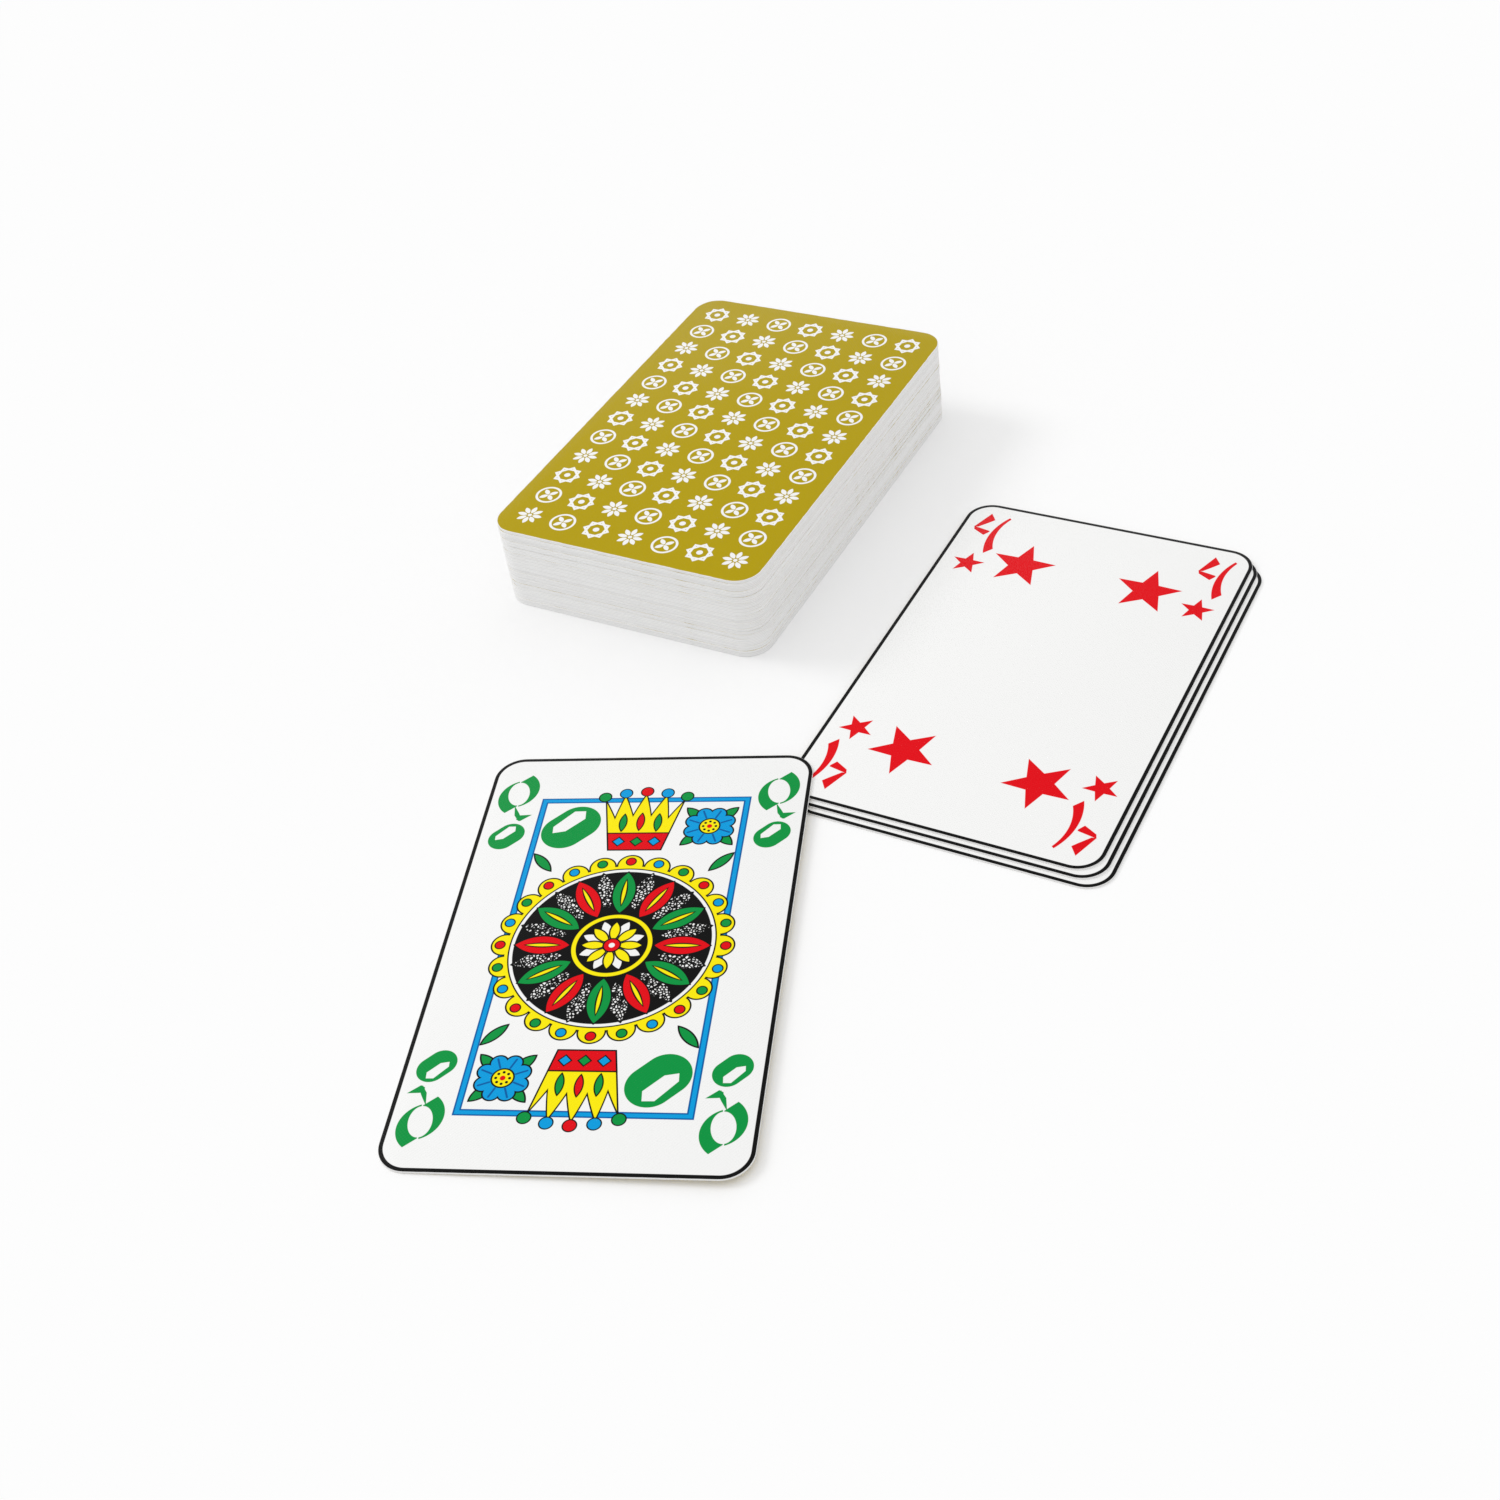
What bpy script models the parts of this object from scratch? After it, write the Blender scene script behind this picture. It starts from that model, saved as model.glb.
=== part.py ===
"""A card game deck in play: a face-down draw pile, a face-up discard pile and one court card.

Every card is its own solid. The origin is the middle of the draw pile's underside, +X runs across
the cards, +Y along them away from the player, and +Z up from the table.
"""

from math import atan2, cos, pi, radians, sin
from random import Random

import bmesh
import bpy
from mathutils import Vector

MM = 0.001

# One bridge-size card
CARD_WIDTH = 57.15 * MM
CARD_LENGTH = 88.9 * MM
CARD_THICKNESS = 0.33 * MM
CORNER_RADIUS = 5.0 * MM
CORNER_STEPS = 6

# Air between two cards that lie on each other
AIR_GAP = 0.02 * MM

# The draw pile, squared by hand: no card is out of line by more than the slack
DRAW_COUNT = 51
SQUARING_SLACK = 0.07 * MM
TURNING_SLACK = radians(0.04)
SQUARING_SEED = 11

# The discard pile, to the right of the draw pile and nearer to the player
DISCARD_COUNT = 3
PILE_SPACE = 19.2 * MM
DISCARD_NEARER = 30.6 * MM
DISCARD_TURN = radians(0.2)

# Each discarded card lies further back and to the left than the one beneath it
STAGGER_ACROSS = 1.3 * MM
STAGGER_ALONG = 1.35 * MM

# The court card lies with its left edge on the table and its right edge on the discard pile's corner
COURT_TURN = radians(20.2)
COURT_LAP_ACROSS = 4.2 * MM
COURT_LAP_ALONG = 5.5 * MM

# Ink and board
FACE_COLOUR = (0.92, 0.92, 0.90, 1.0)
BACK_COLOUR = (0.45, 0.34, 0.003, 1.0)
EDGE_COLOUR = (0.74, 0.74, 0.73, 1.0)
COATED_ROUGHNESS = 0.38
CUT_ROUGHNESS = 0.85


def clear_scene():
    for thing in list(bpy.data.objects):
        bpy.data.objects.remove(thing, do_unlink=True)


def material(name, colour, roughness):
    made = bpy.data.materials.new(name)
    made.use_nodes = True
    surface = made.node_tree.nodes["Principled BSDF"]
    surface.inputs["Base Color"].default_value = colour
    surface.inputs["Roughness"].default_value = roughness
    surface.inputs["Metallic"].default_value = 0.0
    made.diffuse_color = colour
    return made


def corner_centre(side, end):
    """Where a corner's arc is struck from, seen from above: side -1 is left, end -1 is near."""
    across = side * (CARD_WIDTH / 2 - CORNER_RADIUS)
    along = end * (CARD_LENGTH / 2 - CORNER_RADIUS)
    return Vector((across, along, 0.0))


def card_outline():
    """The card's rounded outline, anticlockwise from the right side."""
    points = []
    for quarter, (side, end) in enumerate(((1, 1), (-1, 1), (-1, -1), (1, -1))):
        for step in range(CORNER_STEPS + 1):
            angle = (quarter + step / CORNER_STEPS) * pi / 2
            arm = Vector((cos(angle), sin(angle), 0.0))
            points.append(corner_centre(side, end) + CORNER_RADIUS * arm)
    return points


def card_mesh():
    """One card around its own middle, lying face up: the face on +Z and the back on -Z."""
    shape = bmesh.new()
    down = Vector((0.0, 0.0, -CARD_THICKNESS / 2))
    back = shape.faces.new([shape.verts.new(point + down) for point in card_outline()])
    raised = bmesh.ops.extrude_face_region(shape, geom=[back])["geom"]
    lifted = [part for part in raised if isinstance(part, bmesh.types.BMVert)]
    bmesh.ops.translate(shape, verts=lifted, vec=(0.0, 0.0, CARD_THICKNESS))
    bmesh.ops.recalc_face_normals(shape, faces=shape.faces)

    mesh = bpy.data.meshes.new("card")
    mesh.materials.append(material("card_face", FACE_COLOUR, COATED_ROUGHNESS))
    mesh.materials.append(material("card_back", BACK_COLOUR, COATED_ROUGHNESS))
    mesh.materials.append(material("card_edge", EDGE_COLOUR, CUT_ROUGHNESS))
    for side in shape.faces:
        steepness = side.normal.z
        side.material_index = 0 if steepness > 0.5 else 1 if steepness < -0.5 else 2
    shape.to_mesh(mesh)
    shape.free()
    return mesh


def add_guide(name, place, turn=(0.0, 0.0, 0.0)):
    """An empty that carries a pile."""
    guide = bpy.data.objects.new(name, None)
    guide.location = place
    guide.rotation_euler = turn
    bpy.context.scene.collection.objects.link(guide)
    return guide


def add_card(name, mesh, guide, place, turn=0.0, face_up=True):
    card = bpy.data.objects.new(name, mesh)
    card.parent = guide
    card.location = place
    card.rotation_euler = (0.0, 0.0 if face_up else pi, turn)
    bpy.context.scene.collection.objects.link(card)
    return card


def level(cards_below):
    """Height of a card's middle over the table, with so many cards under it."""
    return cards_below * (CARD_THICKNESS + AIR_GAP) + CARD_THICKNESS / 2


def add_draw_pile(mesh):
    """Face-down cards, numbered from the top of the pile."""
    pile = add_guide("draw_pile", (0.0, 0.0, 0.0))
    hand = Random(SQUARING_SEED)
    for cards_below in range(DRAW_COUNT):
        across = hand.uniform(-SQUARING_SLACK, SQUARING_SLACK)
        along = hand.uniform(-SQUARING_SLACK, SQUARING_SLACK)
        turn = hand.uniform(-TURNING_SLACK, TURNING_SLACK)
        name = f"draw_card_{DRAW_COUNT - cards_below:02d}"
        add_card(name, mesh, pile, (across, along, level(cards_below)), turn, face_up=False)


def add_discard_pile(mesh):
    """Face-up cards, numbered from the top of the pile, and the empty that carries them."""
    place = (CARD_WIDTH + PILE_SPACE, -DISCARD_NEARER, 0.0)
    pile = add_guide("discard_pile", place, (0.0, 0.0, DISCARD_TURN))
    for cards_below in range(DISCARD_COUNT):
        cards_above = DISCARD_COUNT - 1 - cards_below
        across = cards_above * STAGGER_ACROSS
        along = -cards_above * STAGGER_ALONG
        name = f"discard_card_{cards_above + 1}"
        add_card(name, mesh, pile, (across, along, level(cards_below)))
    return pile


def add_court_card(mesh, pile):
    """The card about to be played. It leans on the near left corner of the discard pile's top card."""
    bpy.context.view_layer.update()
    rightward = Vector((cos(COURT_TURN), sin(COURT_TURN), 0.0))
    away = Vector((-sin(COURT_TURN), cos(COURT_TURN), 0.0))
    touched = pile.matrix_world @ corner_centre(-1, -1) - CORNER_RADIUS * rightward

    reach = CARD_WIDTH - COURT_LAP_ACROSS
    left_edge = touched - reach * rightward - (CARD_LENGTH / 2 - COURT_LAP_ALONG) * away
    lean = atan2(DISCARD_COUNT * (CARD_THICKNESS + AIR_GAP), reach)
    edge = add_guide("court_card_edge", left_edge, (0.0, -lean, COURT_TURN))
    add_card("court_card", mesh, edge, (CARD_WIDTH / 2, 0.0, CARD_THICKNESS / 2))


def build():
    clear_scene()
    mesh = card_mesh()
    add_draw_pile(mesh)
    pile = add_discard_pile(mesh)
    add_court_card(mesh, pile)
    bpy.context.view_layer.update()


build()
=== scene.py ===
# %% [markdown]
# A card game in play: a face-down draw pile, a face-up discard pile and a court card that is about to be
# played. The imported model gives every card's place and the way it moves. This lesson dresses it: each
# plain solid is replaced by a card with rounded rims, a cut edge, and prints that are drawn by shader
# maths.

from math import cos, hypot, pi, radians, sin, tau
from random import Random

import bpy
import numpy as np
from mathutils import Matrix, Vector


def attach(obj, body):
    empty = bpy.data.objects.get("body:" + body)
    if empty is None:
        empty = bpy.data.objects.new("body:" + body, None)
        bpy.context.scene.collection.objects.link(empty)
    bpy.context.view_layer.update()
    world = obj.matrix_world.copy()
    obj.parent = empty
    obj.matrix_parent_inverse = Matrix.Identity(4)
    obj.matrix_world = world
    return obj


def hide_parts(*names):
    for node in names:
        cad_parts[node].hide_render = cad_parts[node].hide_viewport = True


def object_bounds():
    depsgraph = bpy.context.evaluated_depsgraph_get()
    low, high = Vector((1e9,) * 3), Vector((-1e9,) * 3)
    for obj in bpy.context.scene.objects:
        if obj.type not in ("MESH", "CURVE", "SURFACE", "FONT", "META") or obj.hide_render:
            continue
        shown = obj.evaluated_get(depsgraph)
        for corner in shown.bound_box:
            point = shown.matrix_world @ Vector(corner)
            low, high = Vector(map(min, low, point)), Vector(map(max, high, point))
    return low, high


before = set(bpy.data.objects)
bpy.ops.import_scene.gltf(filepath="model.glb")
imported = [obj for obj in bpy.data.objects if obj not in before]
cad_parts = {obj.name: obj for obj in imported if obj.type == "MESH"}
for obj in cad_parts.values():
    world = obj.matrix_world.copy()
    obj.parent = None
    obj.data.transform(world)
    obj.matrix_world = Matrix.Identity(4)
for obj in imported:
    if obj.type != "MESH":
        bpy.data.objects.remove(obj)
cad_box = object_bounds()
print("cards in the model:", len(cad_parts))

# %% [markdown]
# The camera looks down at the table from the right of the player, and leans a little to one side. Its
# place could be found by eye, but a lens and a place worked out from the corners of both piles put every
# card where the picture has it. The angles are kept as named numbers, so that the view stays easy to
# change.

# %% Camera
CAMERA_LENS = 47.49
CAMERA_TARGET = Vector((0.0379, -0.0668, 0.0))
CAMERA_DISTANCE = 0.35007
CAMERA_AZIMUTH = radians(33.47)
CAMERA_ELEVATION = radians(41.86)
CAMERA_ROLL = radians(-9.0)
NEAREST_SEEN = 0.01


def camera_place():
    """The camera's place and turn, as a matrix."""
    outward = Vector((sin(CAMERA_AZIMUTH), -cos(CAMERA_AZIMUTH), 0.0)) * cos(CAMERA_ELEVATION)
    outward.z = sin(CAMERA_ELEVATION)
    level = Vector((cos(CAMERA_AZIMUTH), sin(CAMERA_AZIMUTH), 0.0))
    upward = outward.cross(level)
    rightward = cos(CAMERA_ROLL) * level + sin(CAMERA_ROLL) * upward
    turn = Matrix((rightward, outward.cross(rightward), outward)).transposed()
    return Matrix.Translation(CAMERA_TARGET + CAMERA_DISTANCE * outward) @ turn.to_4x4()


camera = bpy.data.objects.new("camera", bpy.data.cameras.new("camera"))
camera.data.lens = CAMERA_LENS
camera.data.clip_start = NEAREST_SEEN
camera.matrix_world = camera_place()
bpy.context.scene.collection.objects.link(camera)
bpy.context.scene.camera = camera
print("camera at", tuple(round(value, 4) for value in camera.location))

# %% [markdown]
# Every finish below is a tree of nodes, and so is the rule that shapes a card. Nodes could be wired by
# hand, one line for each socket, but that hides the idea behind the wiring. One function adds any node
# instead: its settings first, because they decide which sockets it has, then a value or a link for each
# socket.


# %% One function for any node
def socket_of(sockets, key):
    """A socket by its identifier, or else by its name or number."""
    known = {socket.identifier: socket for socket in sockets}
    return known[key] if key in known else sockets[key]


def add_node(tree, kind, settings=None, sockets=None):
    """One new node: its settings are set first, then each socket gets its value or link."""
    node = tree.nodes.new(kind)
    for name, value in (settings or {}).items():
        setattr(node, name, value)
    for key, value in (sockets or {}).items():
        socket = socket_of(node.inputs, key)
        source = getattr(value, "socket", value)
        if isinstance(source, bpy.types.NodeSocket):
            tree.links.new(source, socket)
        else:
            socket.default_value = source
    return node


print("helpers for nodes:", [helper.__name__ for helper in (socket_of, add_node)])

# %% [markdown]
# A pattern is a sum: distances, waves and noises that are added, scaled and compared. It could be a long
# chain of Math nodes, but such chains are hard to read. A small class that wraps a node's output lets the
# sum be written as ordinary Python, and each operator adds the Math node that does its work.


# %% Numbers that change over a surface
def calculate(tree, operation, *operands, clamp=False):
    settings = {"operation": operation, "use_clamp": clamp}
    node = add_node(tree, "ShaderNodeMath", settings, dict(enumerate(operands)))
    return Number(tree, node.outputs["Value"])


class Number:
    """A node's output that takes part in Python expressions."""

    def __init__(self, tree, socket):
        self.tree = tree
        self.socket = socket

    def math(self, operation, *others, clamp=False):
        return calculate(self.tree, operation, self, *others, clamp=clamp)

    def __add__(self, other):
        return self.math("ADD", other)

    __radd__ = __add__

    def __sub__(self, other):
        return self.math("SUBTRACT", other)

    def __rsub__(self, other):
        return calculate(self.tree, "SUBTRACT", other, self)

    def __mul__(self, other):
        return self.math("MULTIPLY", other)

    __rmul__ = __mul__

    def __truediv__(self, other):
        return self.math("DIVIDE", other)

    def __rtruediv__(self, other):
        return calculate(self.tree, "DIVIDE", other, self)

    def __neg__(self):
        return self.math("MULTIPLY", -1.0)

    def __abs__(self):
        return self.math("ABSOLUTE")


print("a Number adds a Math node for each +, -, *, / and abs")

# %% [markdown]
# The ground is to be plain white, but a table that is merely lit comes out grey. More light would make it
# white and burn out the cards. A Light Path node helps instead: it tells rays that the camera sees from
# rays that only carry light, so that the table and the sky can look brighter than they shine.


# %% What the camera sees
def seen_directly(tree):
    """One for rays from the camera, and for those that reach it by a gloss or through glass."""
    path = add_node(tree, "ShaderNodeLightPath")
    camera_ray = Number(tree, path.outputs["Is Camera Ray"])
    glossy_ray = Number(tree, path.outputs["Is Glossy Ray"])
    clear_ray = Number(tree, path.outputs["Is Transmission Ray"])
    return camera_ray.math("MAXIMUM", glossy_ray).math("MAXIMUM", clear_ray)


print("seen directly: camera, glossy and transmission rays")

# %% [markdown]
# The cards lie on a table top. It could be a box with a thickness, but only its upper side is ever seen,
# so one square does. It lies a trace below the lowest point of the model, so that no card's underside is
# in it. What the camera sees of it is lifted to white, while the cards' shadows stay.

# %% Table top
FLOOR_HALF = 3.0
FLOOR_DROP = 0.00003
FLOOR_COLOUR = (0.90, 0.90, 0.90, 1.0)
FLOOR_ROUGHNESS = 1.0
FLOOR_GLOSS = 0.0
FLOOR_LIFT = 0.10


def floor_material():
    material = bpy.data.materials.new("white_table_top")
    material.use_nodes = True
    tree = material.node_tree
    surface = tree.nodes["Principled BSDF"]
    surface.inputs["Base Color"].default_value = FLOOR_COLOUR
    surface.inputs["Roughness"].default_value = FLOOR_ROUGHNESS
    surface.inputs["Specular IOR Level"].default_value = FLOOR_GLOSS
    surface.inputs["Emission Strength"].default_value = FLOOR_LIFT
    tree.links.new(seen_directly(tree).socket, surface.inputs["Emission Color"])
    return material


def add_floor():
    level = cad_box[0][2] - FLOOR_DROP
    corners = [(-1, -1), (1, -1), (1, 1), (-1, 1)]
    points = [(FLOOR_HALF * x, FLOOR_HALF * y, level) for x, y in corners]
    mesh = bpy.data.meshes.new("table_top")
    mesh.from_pydata(points, [], [(0, 1, 2, 3)])
    mesh.materials.append(floor_material())
    floor = bpy.data.objects.new("table_top", mesh)
    bpy.context.scene.collection.objects.link(floor)


add_floor()
print("table top", 2 * FLOOR_HALF, "m wide, lifted by", FLOOR_LIFT)

# %% [markdown]
# Soft light comes from all round, with one broad lamp on the left, so that shadows fall to the right. A
# lamp close by would light the table unevenly. A sun lamp doesn't, and a wide disc keeps its shadows soft.
# The sky is white where it is seen or mirrored, and dimmer where it only lights, so that white board isn't
# burnt out.

# %% Light
LIGHT_COLOUR = (1.0, 1.0, 1.0, 1.0)
SKY_LIGHT = 0.85
LAMP_STRENGTH = 0.64
LAMP_DISC = radians(22.0)
LAMP_SIDE = Vector((-0.89, -0.08, 0.75))


def add_light():
    world = bpy.data.worlds.new("studio")
    world.use_nodes = True
    sky = world.node_tree.nodes["Background"]
    sky.inputs["Color"].default_value = LIGHT_COLOUR
    strength = seen_directly(world.node_tree) * (1.0 - SKY_LIGHT) + SKY_LIGHT
    world.node_tree.links.new(strength.socket, sky.inputs["Strength"])
    bpy.context.scene.world = world

    lamp = bpy.data.objects.new("soft_lamp", bpy.data.lights.new("soft_lamp", "SUN"))
    lamp.data.energy = LAMP_STRENGTH
    lamp.data.angle = LAMP_DISC
    lamp.location = CAMERA_TARGET + LAMP_SIDE
    lamp.rotation_euler = (-LAMP_SIDE).to_track_quat("-Z", "Y").to_euler()
    bpy.context.scene.collection.objects.link(lamp)


add_light()
bpy.context.scene.view_settings.view_transform = "Standard"
print("one soft lamp at", LAMP_STRENGTH, "and a sky at", SKY_LIGHT)

# %% [markdown]
# A printed card is flat shapes of ink on white board. The shapes could be cut as faces, but that would
# crowd the mesh with slivers. Here each shape is a distance in millimetres, below zero inside the shape,
# and it is worked out from a place on the card. Lengths, folds and overlaps of distances give discs, ovals
# and leaves.


# %% Shapes as distances
def length(x, y):
    return (x * x + y * y).math("SQRT")


def both(first, second):
    """Where two shapes overlap."""
    return first.math("MAXIMUM", second)


def either(first, second):
    """Two shapes as one."""
    return first.math("MINIMUM", second)


def turned(x, y, angle):
    return x * cos(angle) + y * sin(angle), y * cos(angle) - x * sin(angle)


def disc(x, y, radius):
    return length(x, y) - radius


def oval(x, y, half_width, half_height):
    return (length(x / half_width, y / half_height) - 1.0) * min(half_width, half_height)


def bar(x, y, half_length, radius):
    """A straight stroke along x with round ends."""
    return length((abs(x) - half_length).math("MAXIMUM", 0.0), y) - radius


def leaf(x, y, half_length, half_width):
    """A leaf along x, pointed at both ends: two arcs."""
    radius = (half_length**2 + half_width**2) / (2.0 * half_width)
    return length(x, abs(y) + (radius - half_width)) - radius


print("plain shapes:", [shape.__name__ for shape in (disc, oval, bar, leaf)])

# %% [markdown]
# Numerals, letters and the holes of rings have straight sides and slanted ends, as a broad pen leaves
# them. They could be curves with a width, but their ends would be round or square. A patch without dents
# is where all its sides overlap, and several patches together make a sign.


# %% Brush strokes
def patch(x, y, corners):
    """A brush stroke with straight sides. Its corners go anticlockwise, and it has no dents."""
    distance = None
    for start, end in zip(corners, corners[1:] + corners[:1]):
        run = end[0] - start[0]
        rise = end[1] - start[1]
        size = hypot(run, rise)
        offset = (start[0] * rise - start[1] * run) / size
        side = x * (rise / size) - y * (run / size) - offset
        distance = side if distance is None else both(distance, side)
    return distance


def strokes(x, y, patches):
    """Several brush strokes as one shape."""
    distance = patch(x, y, patches[0])
    for corners in patches[1:]:
        distance = either(distance, patch(x, y, corners))
    return distance


print("brush strokes:", [shape.__name__ for shape in (patch, strokes)])

# %% [markdown]
# Stars, rosettes and fans repeat one shape around a centre. Each copy could be drawn by itself, at the
# price of many nodes. Folding the plane into one sector, as paper is folded before a star is cut, draws
# one and shows them all.


# %% Shapes that repeat around a centre
def polar(x, y):
    """Distance from the centre, and bearing in radians."""
    return length(x, y), y.math("ARCTAN2", x)


def sector(reach, bearing, count, turn=0.0):
    """A place folded into one of so many sectors: along the sector's middle line, and across it."""
    steps = (bearing - turn) * (count / tau)
    angle = (steps - steps.math("ROUND")) * (tau / count)
    return reach * angle.math("COSINE"), reach * angle.math("SINE")


def leaves(reach, bearing, count, turn, middle, half_length, half_width):
    """Leaves around a centre that point outwards, with their middles at one distance from it."""
    along, across = sector(reach, bearing, count, turn)
    return leaf(along - middle, across, half_length, half_width)


print("sectors fold the plane like paper:", [shape.__name__ for shape in (sector, leaves)])

# %% [markdown]
# Each suit has a pip: a star, a tilted ring or a blossom. They could be signs of a font, but these are few
# and plain, so each is one expression that takes the pip's size. The ring is a fat slanted stroke, and its
# hole is cut out with straight sides, a little off its centre.

# %% Pips of the suits
STAR_POINTS = 5
STAR_NOTCH = 0.41

RING_TILT = radians(45.0)
RING_HALF_HEIGHT = 5.05
RING_HALF_RUN = 1.55
RING_ROUND = 3.95
RING_HOLE = [(-3.15, 0.1), (-3.0, -1.4), (-0.8, -0.95), (2.15, 2.05), (1.95, 3.9), (0.0, 3.85)]

BLOSSOM_LEAVES = 6
BLOSSOM_MIDDLE = 0.56
BLOSSOM_HALF_LENGTH = 0.44
BLOSSOM_HALF_WIDTH = 0.26


def star(x, y, radius):
    """A star with one point up."""
    along, across = sector(*polar(x, y), STAR_POINTS, pi / 2)
    notch_along = STAR_NOTCH * radius * cos(pi / STAR_POINTS)
    notch_across = STAR_NOTCH * radius * sin(pi / STAR_POINTS)
    size = hypot(radius - notch_along, notch_across)
    slope = (radius - notch_along) / size
    return (along - radius) * (notch_across / size) + abs(across) * slope


def ring(x, y, half_height):
    """A tilted ring with a slanted hole off its centre."""
    unit = half_height / RING_HALF_HEIGHT
    along, across = turned(x, y, RING_TILT)
    outside = bar(along, across, RING_HALF_RUN * unit, RING_ROUND * unit)
    hole = patch(x, y, [(unit * corner_x, unit * corner_y) for corner_x, corner_y in RING_HOLE])
    return both(outside, -hole)


def blossom(x, y, radius):
    """A flower of leaves, one of them up."""
    leaf_sizes = (BLOSSOM_MIDDLE * radius, BLOSSOM_HALF_LENGTH * radius, BLOSSOM_HALF_WIDTH * radius)
    return leaves(*polar(x, y), BLOSSOM_LEAVES, pi / 2, *leaf_sizes)


print("pips:", [pip.__name__ for pip in (star, ring, blossom)])

# %% [markdown]
# Cards are printed with a few flat inks. Their colours could be given in the linear numbers that shaders
# use, but nobody can picture those. So inks are written as they look on a screen, from 0 to 255, and one
# function makes them linear by the curve that screens have: straight near black, and a power above that.

# %% Ink colours
SCREEN_WHITE = 255.0
STRAIGHT_END = 0.04045
STRAIGHT_SLOPE = 12.92
CURVE_SHIFT = 0.055
CURVE_POWER = 2.4


def ink_colour(red, green, blue):
    """An on-screen colour as the linear colour that shaders use."""
    made = []
    for level in (red, green, blue):
        part = level / SCREEN_WHITE
        straight = part / STRAIGHT_SLOPE
        curved = ((part + CURVE_SHIFT) / (1.0 + CURVE_SHIFT)) ** CURVE_POWER
        made.append(straight if part <= STRAIGHT_END else curved)
    return (*made, 1.0)


WHITE = ink_colour(249, 249, 248)
GOLD = ink_colour(180, 157, 1)
PALE_GOLD = ink_colour(196, 174, 30)
RED = ink_colour(229, 1, 18)
GREEN = ink_colour(2, 150, 66)
BLUE = ink_colour(0, 159, 225)
DEEP_BLUE = ink_colour(0, 95, 165)
YELLOW = ink_colour(255, 238, 3)
BLACK = ink_colour(3, 3, 3)
print("gold ink in linear colour:", [round(part, 3) for part in GOLD[:3]])

# %% [markdown]
# Ink lies on the board in flat layers, later ones over earlier ones. Each ink could be a material of its
# own on faces of its own, but then the mesh would have to follow every outline. The print class keeps the
# colour so far and mixes the next ink over it. It reads its place from an attribute in millimetres that
# rides on each card, so the print follows the card wherever it lies.

# %% A printed side of a card
PLACE_ATTRIBUTE = "card_mm"
INK_SOFTNESS = 0.06
HALF_COVER = 0.5
LINE_WIDTH = 0.28
NOISE_DETAIL = 3.0


class CardPrint:
    """One printed side of a card."""

    def __init__(self, name, ground):
        self.material = bpy.data.materials.new(name)
        self.material.use_nodes = True
        self.tree = self.material.node_tree
        self.surface = self.tree.nodes["Principled BSDF"]
        attribute = add_node(self.tree, "ShaderNodeAttribute", {"attribute_name": PLACE_ATTRIBUTE})
        self.place = attribute.outputs["Vector"]
        parts = add_node(self.tree, "ShaderNodeSeparateXYZ", None, {"Vector": self.place})
        self.x, self.y, self.height = (Number(self.tree, part) for part in parts.outputs)
        self.colour = ground

    def lay(self, cover, colour):
        """Mixes a colour over what is there, by a cover from 0 to 1."""
        sockets = {"Factor_Float": cover, "A_Color": self.colour, "B_Color": colour}
        node = add_node(self.tree, "ShaderNodeMix", {"data_type": "RGBA"}, sockets)
        self.colour = socket_of(node.outputs, "Result_Color")

    def cover(self, distance):
        """How much of a place is inked, from 0 to 1, and one half on a shape's outline."""
        return distance.math("MULTIPLY_ADD", -1.0 / INK_SOFTNESS, HALF_COVER, clamp=True)

    def ink(self, distance, colour):
        self.lay(self.cover(distance), colour)

    def outlined(self, distance, colour, line=LINE_WIDTH):
        self.ink(distance, BLACK)
        self.ink(distance + line, colour)

    def noise(self, scale):
        sockets = {"Vector": self.place, "Scale": scale, "Detail": NOISE_DETAIL}
        node = add_node(self.tree, "ShaderNodeTexNoise", None, sockets)
        return Number(self.tree, node.outputs["Fac"])

    def finish(self, roughness, gloss, bump_height, bump_strength, bump_depth):
        """Wires the colour, the roughness and the bump to the shader."""
        sockets = {"Strength": bump_strength, "Distance": bump_depth, "Height": bump_height}
        bump = add_node(self.tree, "ShaderNodeBump", None, sockets)
        self.tree.links.new(self.colour, self.surface.inputs["Base Color"])
        self.tree.links.new(roughness.socket, self.surface.inputs["Roughness"])
        self.tree.links.new(bump.outputs["Normal"], self.surface.inputs["Normal"])
        self.surface.inputs["Specular IOR Level"].default_value = gloss
        print(self.material.name, "has", len(self.tree.nodes), "nodes")
        return self.material


print("inks fade out over", INK_SOFTNESS, "mm at their outlines")

# %% [markdown]
# All cards are alike, so one of them tells the size of all. Its sizes could be written down here, but then
# they would be wrong as soon as the solids change, so they are measured. A card's points spread most along
# its length, less across it and least through the board, so the directions come from the points
# themselves. How far the points reach along each direction is half a size.

# %% Size of a card
MM = 0.001
SAME_POINT_DIGITS = 6
SIZE_DIGITS = 2
END_MARGIN = 0.05


def spread_of(node):
    """A solid's middle, its points seen from there, and its directions: along, across and through."""
    places = np.empty(len(node.data.vertices) * 3, np.float32)
    node.data.vertices.foreach_get("co", places)
    rounded = np.round(places.reshape(-1, 3).astype(float), SAME_POINT_DIGITS)
    points = np.unique(rounded, axis=0)
    middle = points.mean(0)
    _, _, directions = np.linalg.svd(points - middle)
    return middle, points - middle, directions


def card_sizes(node):
    """Width, length, thickness and corner radius of a card, in millimetres."""
    _, points, directions = spread_of(node)
    reach = points @ directions.T / MM
    half_length, half_width, half_thickness = reach.max(0)
    end_points = reach[reach[:, 0] > half_length - END_MARGIN]
    corner_radius = half_width - end_points[:, 1].max()
    sizes = (2 * half_width, 2 * half_length, 2 * half_thickness, corner_radius)
    return [round(float(size), SIZE_DIGITS) for size in sizes]


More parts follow.
